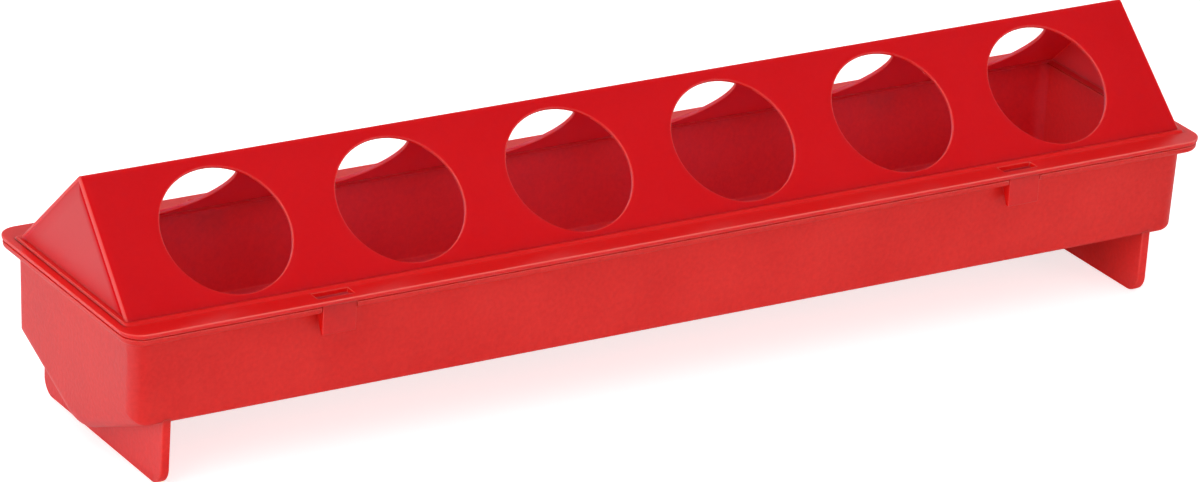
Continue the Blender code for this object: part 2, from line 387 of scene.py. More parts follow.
def rounded_outline(corners: list[tuple[float, float, float]], steps: int) -> np.ndarray:
    """A closed flat outline whose corners are arcs.

    Each corner's arc touches both sides at radius times the tangent of half the turn.

    Args:
        corners: (u, v, radius) of each corner, anticlockwise.
        steps: steps in each arc.

    Returns:
        An n x 2 array.
    """
    points = np.array([corner[:2] for corner in corners])
    parts = []
    for number, (u, v, radius) in enumerate(corners):
        here = np.array([u, v])
        before = here - points[number - 1]
        after = points[(number + 1) % len(points)] - here
        before /= np.linalg.norm(before)
        after /= np.linalg.norm(after)
        turn = math.atan2(before[0] * after[1] - before[1] * after[0], before @ after)
        if radius == 0.0:
            parts.append(here[None])
            continue
        reach = radius * math.tan(abs(turn) / 2)
        side = math.copysign(1.0, turn)
        centre = here - before * reach + side * radius * np.array([-before[1], before[0]])
        start = math.atan2(-side * before[0], side * before[1])
        angles = start + np.linspace(0, turn, steps + 1)
        parts.append(centre + radius * spots(np.cos(angles), np.sin(angles)))
    return np.concatenate(parts)


def drawn_in(outline: np.ndarray, inset: float) -> np.ndarray:
    """The same outline moved inwards: each point goes along the mean of its sides' normals.

    Args:
        outline: closed outline, anticlockwise.
        inset: how far.

    Returns:
        The moved outline.
    """
    sides = np.roll(outline, -1, axis=0) - outline
    sides /= np.linalg.norm(sides, axis=1, keepdims=True)
    normals = spots(-sides[:, 1], sides[:, 0])
    before = np.roll(normals, 1, axis=0)
    mitre = (before + normals) / (1 + np.sum(before * normals, axis=1, keepdims=True))
    return outline + inset * mitre


def plate(patches: Patches, outline: np.ndarray, low: float, high: float, edge: float) -> None:
    """A flat plate across the feeder, with rounded edges round both faces.

    A ring at angle t is drawn in by edge(1 - cos t) and stands edge(1 - sin t) behind the face.

    Args:
        patches: where the faces go.
        outline: closed outline in Y and Z.
        low: X of the face nearer the left end.
        high: X of the other face.
        edge: radius of the rounded edges.
    """
    rings = []
    bends = quarter(PLATE_EDGE_STEPS)
    for x, side, bend in ((low, -1, bends[::-1]), (high, 1, bends)):
        for inwards, back in bend:
            ring = drawn_in(outline, edge * inwards)
            rings.append(spots(x - side * edge * back, *ring.T))
    patches.grid(np.array(rings), wrap=True)
    patches.cap(rings[0])
    patches.cap(rings[-1])


class Wiring:
    """The nodes of one material or world, each made and fed in one call."""

    def __init__(self, owner: bpy.types.Material | bpy.types.World) -> None:
        """Turns on the owner's nodes."""
        owner.use_nodes = True
        self.nodes, self.links = owner.node_tree.nodes, owner.node_tree.links

    def feed(self, node: bpy.types.Node, feeds: dict[str | int, Feed]) -> None:
        """Links the sockets to a node's inputs and sets the constants on the others.

        Args:
            node: the node.
            feeds: input names or numbers and what goes in.
        """
        for slot, feed in feeds.items():
            if isinstance(feed, bpy.types.NodeSocket):
                self.links.new(feed, node.inputs[slot])
            else:
                node.inputs[slot].default_value = feed

    def add(self, kind: str, feeds: dict[str | int, Feed]) -> bpy.types.Node:
        """Makes a node of a kind and feeds its inputs.

        Args:
            kind: its type, less ShaderNode.
            feeds: as in feed().

        Returns:
            The node.
        """
        made = self.nodes.new(f"ShaderNode{kind}")
        self.feed(made, feeds)
        return made

    def maths(self, operation: str, *feeds: Feed, vector: bool = False) -> bpy.types.NodeSocket:
        """The result of a Math or Vector Math node.

        Args:
            operation: what it works out.
            feeds: its inputs in order.
            vector: whether the inputs are vectors.

        Returns:
            Its output, the number where two vectors give one.
        """
        made = self.add("VectorMath" if vector else "Math", {})
        made.operation = operation
        self.feed(made, dict(enumerate(feeds)))
        return made.outputs["Value" if operation == "DOT_PRODUCT" else 0]

    def ramp(
        self, value: Feed, start: float, end: float, low: float = 0.0, high: float = 1.0
    ) -> bpy.types.NodeSocket:
        """Goes evenly from low to high as the value goes from start to end, and stays there."""
        span = {"From Min": start, "From Max": end, "To Min": low, "To Max": high}
        return self.add("MapRange", {"Value": value, **span}).outputs["Result"]

    def mix(
        self, factor: Feed, first: Feed, second: Feed, kind: str = "RGBA", blend: str = "MIX"
    ) -> bpy.types.NodeSocket:
        """A Mix node's result: the first value at factor 0, the second one at factor 1.

        Args:
            factor: the factor.
            first: one colour or value.
            second: the other.
            kind: RGBA for colours, FLOAT for values.
            blend: how colours are mixed.

        Returns:
            Its output.
        """
        made = self.add("Mix", {})
        made.data_type, made.blend_type = kind, blend
        self.feed(made, {"Factor": factor, "A": first, "B": second})
        return made.outputs["Result"]


@dataclass(frozen=True)
class MouldedPlastic:
    """Red moulded polypropylene: its colour, gloss, fine skin and slight unevenness, with painted
    highlights, painted shade, a painted sheen and a painted inside tint.

    The colour drifts to the faded one. End values are those of the faces that look along the
    ridge. Pairs are where a change starts and where it is complete.
    """

    slot: Slot
    colour: Colour
    faded: Colour
    roughness: float
    roughness_swing: float
    end_roughness: float
    skin_depth: float
    flow_depth: float
    ior: float = 1.45
    shine: float = 0.5
    end_shine: float = 0.5
    # Painted sheen: the faces that look along the ridge are mixed by this share towards a pinker
    # colour.
    end_painted_sheen: float = 0.0
    painted_sheen_colour: Colour = (1.0, 0.3, 0.31)
    end_facing: tuple[float, float] = (0.5, 0.9)
    drift_scale: float = 38.0
    skin_scale: float = 1000.0
    flow_scale: float = 60.0
    drift_detail: float = 2.0
    skin_detail: float = 1.5
    flow_detail: float = 1.0
    speckle_share: float = 0.55
    speckle_span: tuple[float, float] = (0.45, 1.10)
    # Painted highlight on rounded edges: its strength, its colour, how far the Bevel looks and the
    # bend at which it is full.
    edge_highlight: float = 1.0
    edge_highlight_colour: Colour = (1.0, 0.16, 0.14)
    edge_highlight_reach: float = 0.38 * MM
    edge_highlight_bend: float = 0.92
    glow_through: float = 1.0
    glow_scale: float = 3.1 * MM
    glow_radius: Colour = (1.0, 0.04, 0.03)
    # Painted tint for the light inside the pan, added on faces that look inwards above the feet,
    # and where that mask starts and ends.
    interior_light_tint: Colour = (-0.02, 0.040, 0.075)
    inside_depth: tuple[float, float] = (-1 * MM, -3 * MM)
    above_feet: tuple[float, float] = (10 * MM, 14 * MM)
    near_end: tuple[float, float] = (138 * MM, 140 * MM)
    near_end_share: float = 0.014

    def paint_interior_light(
        self, wiring: Wiring, place: bpy.types.bpy_prop_collection, colour: Feed
    ) -> bpy.types.NodeSocket:
        """Makes the colour duller on the faces that look inwards, above the foot plates: a painted
        tint for the light inside the pan.

        A face looks inwards where its normal points back at the plane through the ridge:
        Y of the normal times Y of the place is less than nothing there. Close to the
        ends a share of the same with X is added.

        Args:
            wiring: the material's nodes.
            place: the outputs of its Texture Coordinate node.
            colour: the colour that is changed.

        Returns:
            The changed colour.
        """
        split = wiring.add("SeparateXYZ", {0: place["Object"]}).outputs
        out = wiring.maths("ABSOLUTE", split["X"])
        along = wiring.ramp(out, *self.near_end, 0.0, self.near_end_share)
        parts = wiring.add("CombineXYZ", {"X": along, "Y": 1.0}).outputs["Vector"]
        level = wiring.maths("MULTIPLY", place["Normal"], parts, vector=True)
        inwards = wiring.maths("DOT_PRODUCT", level, place["Object"], vector=True)
        faces_in = wiring.ramp(inwards, *self.inside_depth)
        inside = wiring.maths("MULTIPLY", faces_in, wiring.ramp(split["Z"], *self.above_feet))
        # Adds the painted tint for the light inside the pan.
        return wiring.mix(inside, colour, (*self.interior_light_tint, 1.0), blend="ADD")

    def build(self) -> bpy.types.Material:
        """Makes the material: broad colour drift, fine skin, slow flow waves, painted highlights on
        edges, painted shade in hollows, a painted sheen on the end faces and a painted tint inside.

        Returns:
            The material.
        """
        finish = bpy.data.materials.new(self.slot.value)
        wiring = Wiring(finish)
        place = wiring.add("TexCoord", {}).outputs
        facing = wiring.add("SeparateXYZ", {0: place["Normal"]}).outputs
        endwards = wiring.maths("ABSOLUTE", facing["X"])
        # Painted light read from the mesh: painted highlight above 0, painted shade below 0; its
        # sum with 1, clamped, is 0 in full painted shade.
        attribute = wiring.add("Attribute", {})
        attribute.attribute_name = "painted_light"
        painted_light = attribute.outputs["Fac"]
        clear_of_painted_shade = wiring.maths("ADD", painted_light, 1.0)
        clear_of_painted_shade.node.use_clamp = True

        def noise(scale: float, detail: float) -> bpy.types.NodeSocket:
            """A noise over the part's own coordinates."""
            feeds = {"Scale": scale, "Detail": detail, "Vector": place["Object"]}
            return wiring.add("TexNoise", feeds).outputs["Fac"]

        def at_ends(slopes: float, ends: float) -> bpy.types.NodeSocket:
            """One value on the slopes and sides, another on the faces that look along the ridge."""
            return wiring.ramp(endwards, *self.end_facing, slopes, ends)

        def less_in_painted_shade(value: bpy.types.NodeSocket) -> bpy.types.NodeSocket:
            """The value, down to nothing where painted shade is laid."""
            return wiring.maths("MULTIPLY", value, clear_of_painted_shade)

        drift = noise(self.drift_scale, self.drift_detail)
        skin = noise(self.skin_scale, self.skin_detail)
        flow = noise(self.flow_scale, self.flow_detail)
        speckle = wiring.maths("MULTIPLY_ADD", skin, self.speckle_share, drift)
        spread = wiring.ramp(speckle, *self.speckle_span)
        tint = wiring.mix(spread, (*self.colour, 1.0), (*self.faded, 1.0))
        # Painted sheen on the end faces, less where painted shade is laid.
        with_painted_sheen = wiring.mix(less_in_painted_shade(at_ends(0.0, self.end_painted_sheen)), tint, (*self.painted_sheen_colour, 1.0))
        # Painted tint for the light inside the pan.
        dull = self.paint_interior_light(wiring, place, with_painted_sheen)

        # Painted highlight on rounded edges, where the Bevel normal turns away from the surface's;
        # the larger of it and the painted light attribute mixes the base colour towards the
        # highlight colour.
        rounded = wiring.add("Bevel", {"Radius": self.edge_highlight_reach})
        rounded.samples = 4
        surface = wiring.add("NewGeometry", {}).outputs["Normal"]
        turned = wiring.maths("DOT_PRODUCT", rounded.outputs["Normal"], surface, vector=True)
        edge = wiring.ramp(turned, 1.0, self.edge_highlight_bend, 0.0, self.edge_highlight)
        painted_highlight = wiring.maths("MAXIMUM", painted_light, edge)

        swing = wiring.ramp(drift, 0.0, 1.0, -self.roughness_swing, self.roughness_swing)
        fine = wiring.add("Bump", {"Distance": self.skin_depth, "Height": skin}).outputs["Normal"]
        waves = wiring.add("Bump", {"Distance": self.flow_depth, "Height": flow, "Normal": fine})
        feeds = {
            "Base Color": wiring.mix(painted_highlight, dull, (*self.edge_highlight_colour, 1.0)),
            "Roughness": wiring.maths("ADD", at_ends(self.roughness, self.end_roughness), swing),
            # specular level, cut down where painted shade is laid
            "Specular IOR Level": less_in_painted_shade(at_ends(self.shine, self.end_shine)),
            "Normal": waves.outputs["Normal"],
            "IOR": self.ior,
            "Subsurface Weight": self.glow_through,
            "Subsurface Scale": self.glow_scale,
            "Subsurface Radius": self.glow_radius,
        }
        wiring.feed(wiring.nodes["Principled BSDF"], feeds)
        return finish


def dress(piece: bpy.types.Object, finish: bpy.types.Material, body: Body) -> None:
    """Gives a piece its finish and lets it move with its moulding.

    Args:
        piece: the piece.
        finish: its material.
        body: the moulding that it belongs to.
    """
    piece.data.materials.append(finish)
    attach(piece, body.value)


@dataclass
class Trough:
    """The pan with its turned-out lip, and the two foot plates under it."""

    envelope: Envelope
    fit: Fit
    finish: MouldedPlastic
    lip_end_reach: float = 3.1 * MM
    lip_side_reach: float = 3.55 * MM
    wall: float = 1.2 * MM
    draft: float = math.radians(1.41)
    knee_z: float = 16.7 * MM
    valley: float = math.radians(23.3)
    end_radius: float = 4.2 * MM
    knee_radius: float = 1.6 * MM
    keel_radius: float = 11.5 * MM
    least_radius: float = 0.3 * MM
    lip_under_radius: float = 1.2 * MM
    lip_top_radius: float = 0.1 * MM
    mouth_radius: float = 0.3 * MM
    foot_thickness: float = 2.4 * MM
    foot_from_end: float = 8.0 * MM
    foot_corner_radius: float = 4.5 * MM
    foot_side_inset: float = 0.1 * MM
    foot_edge_radius: float = 0.4 * MM
    wall_steps: int = 12
    knee_steps: int = 7
    keel_steps: int = 9
    foot_steps: int = 10
    lip_steps: tuple[int, int, int] = (8, 4, 5)

    def __post_init__(self) -> None:
        """Works out the rim's size and the loops from the lid's outline."""
        fit = self.fit
        self.rim_z = self.envelope.rim_z
        outside = (self.envelope.half_length, self.envelope.half_width, fit.corner_radius)
        self.lip = grown(outside, -fit.setback)
        self.under_z = self.rim_z - fit.lip_thickness
        self.half_length = self.lip[0] - self.lip_end_reach
        self.rim_half_width = self.lip[1] - self.lip_side_reach
        self.notch_y = self.lip[1] - fit.hook_plate - fit.clearance
        self.plan = LoopPlan.with_gaps(fit.hook_middle, fit.hook_width / 2 + fit.clearance)

    def reach(self, z: float | np.ndarray) -> float | np.ndarray:
        """Half the pan's length at a height: the rim's half length less the draft's share."""
        return self.half_length - (self.rim_z - z) * math.tan(self.draft)

    def half_width(self, z: float | np.ndarray, inset: float = 0.0) -> float | np.ndarray:
        """Half the pan's width at a height, inside its outer face by an inset."""
        outside = self.rim_half_width - (self.rim_z - z) * math.tan(self.draft)
        return outside - inset / math.cos(self.draft)

    def valley_z(self, y: float | np.ndarray, inset: float = 0.0) -> float | np.ndarray:
        """Height of the valley's straight flank at a distance from the middle."""
        keel = self.knee_z - self.half_width(self.knee_z) * math.tan(self.valley)
        return keel + inset / math.cos(self.valley) + y * math.tan(self.valley)

    def section(self, inset: float, top_z: float) -> np.ndarray:
        """The pan's cross-section, drawn inwards by an inset, from one rim round to the other.

        The wall leans by the draft and the valley falls to the middle. An arc of the knee's
        radius joins them and an arc of the keel's radius crosses the middle.

        Args:
            inset: how far inside the outer face the line runs.
            top_z: height where both ends stop.

        Returns:
            An n x 2 array of (y, z), n odd, from the rear rim to the front one.
        """
        knee_y = self.half_width(self.valley_z(0.0, inset), inset)
        knee_y /= 1 - math.tan(self.valley) * math.tan(self.draft)
        knee = np.array([knee_y, self.valley_z(knee_y, inset)])
        radius = max(self.knee_radius - inset, self.least_radius)
        turn = math.pi / 2 - self.draft - self.valley
        up = np.array([math.sin(self.draft), math.cos(self.draft)])
        start = knee + up * radius * math.tan(turn / 2)
        centre = start + radius * np.array([-up[1], up[0]])
        angles = -self.draft - turn * share(self.knee_steps)
        knee_arc = centre + radius * spots(np.cos(angles), np.sin(angles))
        keel = max(self.keel_radius - inset, self.least_radius)
        keel_centre = self.valley_z(0.0, inset) + keel / math.cos(self.valley)
        angles = -math.pi / 2 + self.valley * (1 - share(self.keel_steps))
        keel_arc = spots(keel * np.cos(angles), keel_centre + keel * np.sin(angles))
        part = share(self.wall_steps)
        wall_z = (top_z + (start[1] - top_z) * part)[:-1]
        wall = spots(self.half_width(wall_z, inset), wall_z)
        part = part[1:-1, None]
        flank = knee_arc[-1] * (1 - part) + keel_arc[0] * part
        half = np.concatenate([wall, knee_arc, flank, keel_arc])
        return np.concatenate([half, (half * [-1, 1])[-2::-1]])

    def skin(self, patches: Patches, inset: float, top_z: float) -> None:
        """One skin of the pan, outside or inside: long faces, rounded ends and end walls.

        Rows at the same x run round the section. Near an end a row at angle t is drawn in by
        R(1 - cos t) and stands R sin t beyond the rounding's start, up to 90 degrees, where a
        flat end wall closes it.

        Args:
            patches: where the faces go.
            inset: how far inside the outer face this skin lies.
            top_z: height where the skin ends.
        """
        radius = self.end_radius - inset
        line = self.section(inset, top_z)
        x = self.plan.along(self.reach(line[:, 1]) - inset - radius).T
        patches.grid(spots(x, *line.T))
        for side in BOTH_SIDES:
            rows = []
            for inwards, back in quarter(self.plan.corner_steps):
                ring = self.section(inset + radius * inwards, top_z)
                x = self.reach(ring[:, 1]) - inset - radius * back
                rows.append(spots(side * x, *ring.T))
            patches.grid(np.array(rows))
            top = self.plan.end_points(*rows[-1][0, :2], top_z)
            patches.cap(np.concatenate([rows[-1], top]))

    def rim_loop(self, inset: float, z: float) -> LoopSize:
        """Size of the loop in which a skin of the pan ends."""
        return (self.reach(z) - inset, self.half_width(z, inset), self.end_radius - inset, z)

    def pan(self) -> bpy.types.Object:
        """The pan and its lip as one closed surface.

        The lip's profile runs out under the lip, round its lower edge, up its face, over the
        top and down into the mouth, and is carried round the rim. At the hooks it is cut back
        to the notch.

        Returns:
            The piece.
        """
        patches = Patches()
        under, top, mouth = self.lip_under_radius, self.lip_top_radius, self.mouth_radius
        mouth_z = self.rim_z - mouth
        self.skin(patches, 0.0, self.under_z)
        self.skin(patches, self.wall, mouth_z)

        inner = self.rim_loop(self.wall, mouth_z)
        turns = [arc(start, start + 90, n) for start, n in zip((-90, 0, 90), self.lip_steps)]
        profile = [
            self.rim_loop(0.0, self.under_z),
            *edge_profile(grown(self.lip, -under), self.under_z + under, under, turns[0]),
            *edge_profile(grown(self.lip, -top), self.rim_z - top, top, turns[1]),
            *edge_profile(grown(inner, mouth), mouth_z, mouth, turns[2])[:-1],
            inner,
        ]
        rings = np.array([self.plan.loop(*size) for size in profile])
        limit = np.where(self.plan.in_gap(), self.notch_y, np.inf)
        rings[..., 1] = np.clip(rings[..., 1], -limit, limit)
        patches.grid(rings, wrap=True)
        return patches.to_object("trough_pan")

    def foot_outline(self) -> np.ndarray:
        """A foot plate from the end: down the walls' line, round the corners and under the pan.

        Its top follows the valley inside the pan's wall, where it isn't seen.

        Returns:
            An n x 2 array of (y, z).
        """
        hidden = self.wall / 2
        low = self.half_width(0.0) - self.foot_side_inset
        slope = math.tan(self.draft)
        high = (low + slope * self.valley_z(0.0, hidden)) / (1 - slope * math.tan(self.valley))
        high_z = self.valley_z(high, hidden)
        corners = [
            (0.0, self.valley_z(0.0, hidden), self.keel_radius),
            (-high, high_z, 0.0),
            (-low, 0.0, self.foot_corner_radius),
            (low, 0.0, self.foot_corner_radius),
            (high, high_z, 0.0),
        ]
        return rounded_outline(corners, self.foot_steps)

    def feet(self) -> bpy.types.Object:
        """Both foot plates.

        Returns:
            The piece.
        """
        patches = Patches()
        outline = self.foot_outline()
        high = self.half_length - self.foot_from_end
        low = high - self.foot_thickness
        plate(patches, outline, low, high, self.foot_edge_radius)
        plate(patches, outline, -high, -low, self.foot_edge_radius)
        return patches.to_object("trough_feet")

    def build(self) -> list[bpy.types.Object]:
        """Makes the pan and the feet and dresses them.

        Returns:
            The two pieces.
        """
        finish = self.finish.build()
        pan, feet = self.pan(), self.feet()
        for piece in (pan, feet):
            dress(piece, finish, Body.TROUGH)
        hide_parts(Body.TROUGH.value)
        return [pan, feet]


@dataclass
class Lid:
    """The pierced gable roof, the flange round it and the four snap hooks.

    Shares say where the rings between a hole and its cell's edge lie. Highlight is how much painted
    highlight a place gets, from 0 to 1, and shade how much painted shade a hollow gets.
    """

    envelope: Envelope
    fit: Fit
    gloss: MouldedPlastic
    satin: MouldedPlastic
    dull: MouldedPlastic
    free_flange_end: float = 3.15 * MM
    free_flange_side: float = 6.95 * MM
    slope: float = math.radians(43.0)
    lean: float = math.radians(2.3)
    wall: float = 1.0 * MM
    inner_radius: float = 0.3 * MM
    ridge_steps: int = 8
    gable_edge_radius: float = 0.5 * MM
    gable_edge_steps: int = 5
    # Painted highlight on the gable's rounded edge and border, and the share of painted light that
    # the rear half gets.
    gable_highlight: float = 0.55
    rear_share: float = 0.15
    step_height: float = 0.5 * MM
    step_side: float = 1.1 * MM
    step_end: float = 0.9 * MM
    step_corner: float = 1.2 * MM
    step_end_run: float = 0.25 * MM
    step_side_run: float = 1.0 * MM
    step_fall_steps: int = 10
    border: float = 0.9 * MM
    recess: float = 0.5 * MM
    panel_edge: float = 0.1 * MM
    panel_edge_steps: int = 3
    panel_radius: float = 0.1 * MM
    panel_sink: float = 0.1 * MM
    hollow_width: float = 3.4 * MM
    hollow_depth: float = 0.4 * MM
    hollow_steps: int = 8
    # Painted shade in the gable's hollow.
    hollow_shade: float = 1.8
    hole_count: int = 6
    pitch: float = 45.9 * MM
    hole_radius: float = 16.25 * MM
    hole_from_ridge: float = 19.5 * MM
    hole_edge: float = 0.3 * MM
    hole_edge_steps: int = 4
    outer_shares: tuple[float, ...] = (0.0, 0.4, 0.75, 0.93, 1.0)
    inner_shares: tuple[float, ...] = (0.07, 0.25, 0.6, 1.0)
    rim_rounding: float = 0.1 * MM
    rim_steps: int = 6
    rim_line: float = 0.35 * MM
    # Painted highlight on the rim's rounded edge: along the sides, and at the ends.
    rim_highlight: tuple[float, float] = (0.95, 0.2)
    rim_under_rounding: float = 0.8 * MM
    rim_under_runs: tuple[float, float] = (0.9 * MM, 0.3 * MM)
    hidden_depth: float = 1.1 * MM
    hidden_corner: float = 0.5 * MM
    window_length: float = 9.6 * MM
    window_width: float = 3.4 * MM
    hook_drop: float = 7.3 * MM
    hook_foot: float = 0.8 * MM
    hook_edge: float = 0.15 * MM
    hook_steps: int = 5
    hook_radii: tuple[float, ...] = (0.0, 0.0, 0.1 * MM, 0.15 * MM, 0.3 * MM, 0.25 * MM, 0.3 * MM)
    barb_reach: float = 1.0 * MM
    barb_face: float = 1.0 * MM
    cell_steps: int = 24
    roof_foot_depth: float = 0.7 * MM

    def __post_init__(self) -> None:
        """Works out the flange's and the roof's heights and places."""
        self.under_z = self.envelope.rim_z + self.fit.clearance
        self.flange_z = self.under_z + self.fit.flange_thickness
        self.foot_z = self.flange_z - self.roof_foot_depth
        self.half_base = self.envelope.half_width - self.free_flange_side
        self.end_x = self.envelope.half_length - self.free_flange_end
        self.apex_z = self.flange_z + self.half_base * math.tan(self.slope)
        self.ridge_radius = (self.apex_z - self.envelope.ridge_z) / (1 / math.cos(self.slope) - 1)

    def gable_x(self, z: float | np.ndarray, depth: float) -> float | np.ndarray:
        """X of the right gable at a height, behind its outer face by a depth."""
        return self.end_x - (z - self.flange_z) * math.tan(self.lean) - depth

    def hole_x(self, number: int) -> float:
        """X of a hole's middle."""
        return (number - (self.hole_count - 1) / 2) * self.pitch

    def face(self, inner: bool) -> tuple[float, float, float]:
        """The roof's outer or inner face: its inset, ridge radius and depth behind the gable.

        Args:
            inner: whether it is the inner face.

        Returns:
            The three lengths.
        """
        if inner:
            return self.wall, self.inner_radius, self.recess + self.wall
        return 0.0, self.ridge_radius, self.gable_edge_radius

    def on_slope(
        self, x: np.ndarray | float, down: np.ndarray | float, out: float, side: int
    ) -> np.ndarray:
        """Places on a slope.

        Args:
            x: along the ridge.
            down: from the ridge line down the slope.
            out: outwards from the slope's face.
            side: 1 for the rear slope, -1 for the front one.

        Returns:
            The places, one for each value given.
        """
        sin_a, cos_a = math.sin(self.slope), math.cos(self.slope)
        y = side * (down * cos_a + out * sin_a)
        return spots(x, y, self.apex_z - down * sin_a + out * cos_a)

    def down_range(self, inset: float, radius: float, base_z: float) -> tuple[float, float]:
        """Where a slope drawn in by an inset starts below its ridge arc and meets a height.

        Args:
            inset: how far the slope is drawn in.
            radius: the ridge arc's radius.
            base_z: the height.

        Returns:
            Both as distances from the ridge line down the slope.
        """
        start = inset * math.tan(self.slope) + radius * math.tan(self.slope)
        end = (self.apex_z - inset * math.cos(self.slope) - base_z) / math.sin(self.slope)
        return start, end

    def ridge_arc(self, inset: float, radius: float) -> np.ndarray:
        """The (y, z) places of the ridge's arc from the rear slope over to the front one.

        Args:
            inset: how far the slopes are drawn in.
            radius: the arc's radius.

        Returns:
            An n x 2 array.
        """
        centre = self.apex_z - (inset + radius) / math.cos(self.slope)
        angles = np.linspace(self.slope, -self.slope, self.ridge_steps + 1)
        return spots(radius * np.sin(angles), centre + radius * np.cos(angles))

    def cell(self, number: int, inner: bool) -> tuple[np.ndarray, np.ndarray]:
        """The rectangle round a hole, as x and distance down the slope, anticlockwise.

        The first and last cells end on the leaning gable.

        Args:
            number: the hole, from the left.
            inner: whether it is on the inner face.

        Returns:
            Two arrays, for x and for the distance.
        """
        inset, radius, depth = self.face(inner)
        start, end = self.down_range(inset, radius, self.foot_z)
        part = share(self.cell_steps)
        down = start + (end - start) * part
        gable = self.gable_x(self.on_slope(0.0, down, -inset, 1)[:, 2], depth)
        left = np.full_like(down, self.hole_x(number) - self.pitch / 2)
        right = np.full_like(down, self.hole_x(number) + self.pitch / 2)
        if number == 0:
            left = -gable
        if number == self.hole_count - 1:
            right = gable
        top = left[0] + (right[0] - left[0]) * part
        bottom = left[-1] + (right[-1] - left[-1]) * part
        x = np.concatenate([left[:-1], bottom[:-1], right[:0:-1], top[:0:-1]])
        low, high = np.full(self.cell_steps, end), np.full(self.cell_steps, start)
        return x, np.concatenate([down[:-1], low, down[:0:-1], high])

    def hole_cells(self, patches: Patches, side: int) -> None:
        """One slope with its row of round holes, both faces and the holes' edges.

        In each cell, rings run from the cell's rectangle to the hole: places between the two
        are shared out along straight lines, and the hole's edges are quarter circles.

        Args:
            patches: where the faces go.
            side: 1 for the rear slope, -1 for the front one.
        """
        edge, wall, bends = self.hole_edge, self.wall, quarter(self.hole_edge_steps)
        for number in range(self.hole_count):
            outer_x, outer_s = self.cell(number, False)
            inner_x, inner_s = self.cell(number, True)
            middle = self.hole_x(number)
            turn = np.arctan2(outer_s - self.hole_from_ridge, outer_x - middle)

            def ring(wider: float, out: float) -> np.ndarray:
                """A circle about the hole's centre, wider than the hole and out of the face."""
                along, down = (self.hole_radius + wider) * np.array([np.cos(turn), np.sin(turn)])
                return self.on_slope(middle + along, self.hole_from_ridge + down, out, side)

            near = ring(edge, 0.0)
            far = self.on_slope(outer_x, outer_s, 0.0, side)
            rings = [far + (near - far) * part for part in self.outer_shares]
            rings += [ring(edge * back, -edge * drop) for drop, back in bends[1:]]
            rings += [ring(edge * back, edge * drop - wall) for drop, back in bends[::-1]]
            near = rings[-1]
            far = self.on_slope(inner_x, inner_s, -wall, side)
            rings += [near + (far - near) * part for part in self.inner_shares]
            patches.grid(np.array(rings), wrap=True)

    def ridge_stations(self, z: float, depth: float) -> np.ndarray:
        """X places along the ridge at a height, the same count as the cells have.

        Args:
            z: the height.
            depth: how far behind the gables they end.

        Returns:
            The places, from left to right.
        """
        part = share(self.cell_steps)
        edges = (np.arange(self.hole_count + 1) - self.hole_count / 2) * self.pitch
        edges[-1] = self.gable_x(z, depth)
        edges[0] = -edges[-1]
        rows = edges[:-1, None] + (edges[1:] - edges[:-1])[:, None] * part[None, :-1]
        return np.concatenate([rows.ravel(), edges[-1:]])

    def ridge(self, patches: Patches, inner: bool) -> None:
        """The rounded strip along the ridge, outside or inside.

        Args:
            patches: where the faces go.
            inner: whether it is the inner face.
        """
        inset, radius, depth = self.face(inner)
        line = self.ridge_arc(inset, radius)
        patches.grid(np.array([spots(self.ridge_stations(z, depth), y, z) for y, z in line]))

    def gable_ring(self, inset: float, radius: float, base_z: float, depth: float) -> np.ndarray:
        """A closed ring on a gable: up the rear slope, over the ridge, down and along the base.

        Args:
            inset: how far the ring is drawn in from the slopes.
            radius: the ridge arc's radius on this ring.
            base_z: height of its base.
            depth: how far behind the gable's face it lies.

        Returns:
            An n x 3 array.
        """
        start, end = self.down_range(inset, radius, base_z)
        down = (start + (end - start) * share(self.cell_steps))[::-1]
        rear = self.on_slope(0.0, down, -inset, 1)[:, 1:]
        front = (rear * [-1, 1])[::-1]
        top = self.ridge_arc(inset, radius)[1:-1]
        base_y = np.linspace(front[-1, 0], rear[0, 0], self.cell_steps + 1)[1:-1]
        base = spots(base_y, base_z)
        ring = np.concatenate([rear, top, front, base])
        return spots(self.gable_x(ring[:, 1], depth), *ring.T)

    def gables(self, patches: Patches) -> None:
        """Both gables: rounded edge, flat border, the sunk panel, and the plane inside.

        The border's rings slide in from the slopes. Past the border the profile turns over a
        small edge, drops, and runs out on to the panel along a quarter of an ellipse. The panel
        goes down to the step. The front half gets a painted highlight from the rounded edge to
        the border's end, and the hollow past it gets painted shade, less and less towards the
        panel; the rear half gets a share of both.

        Args:
            patches: where the faces go.
        """
        edge, small, sharp = self.gable_edge_radius, self.panel_edge, self.panel_radius
        base = self.foot_z
        panel_z = self.flange_z + self.step_height - self.panel_sink
        rings = []
        for inset, depth in edge * quarter(self.gable_edge_steps):
            rings.append(self.gable_ring(inset, max(self.ridge_radius - inset, sharp), base, depth))
        for drop, back in small * quarter(self.panel_edge_steps):
            rings.append(self.gable_ring(self.border - back, sharp, panel_z, drop))
        for out, rise in quarter(self.hollow_steps):
            inset = self.border + self.hollow_width * out + HAIR
            depth = self.recess - self.hollow_depth * rise
            rings.append(self.gable_ring(inset, sharp, panel_z, depth))
        outer = np.array(rings)
        # Painted highlight on the edge and border rings, painted shade in the hollow, full on the
        # front half and a share on the rear.
        painted_light = np.zeros(len(outer))
        painted_light[1 : self.gable_edge_steps + self.panel_edge_steps] = self.gable_highlight
        shade = self.hollow_shade * np.cos(arc(0, 90, self.hollow_steps))
        painted_light[-len(shade) :] = -shade
        painted_light = painted_light[:, None] * np.where(outer[:, :, 1] < 0, 1.0, self.rear_share)
        inset, radius, depth = self.face(True)
        inner = self.gable_ring(inset, radius, base, depth)
        for side in BOTH_SIDES:
            flip = np.array([side, 1.0, 1.0])
            patches.grid(outer * flip, wrap=True, painted_light=painted_light)
            patches.cap(outer[-1] * flip)
            patches.cap(inner * flip)

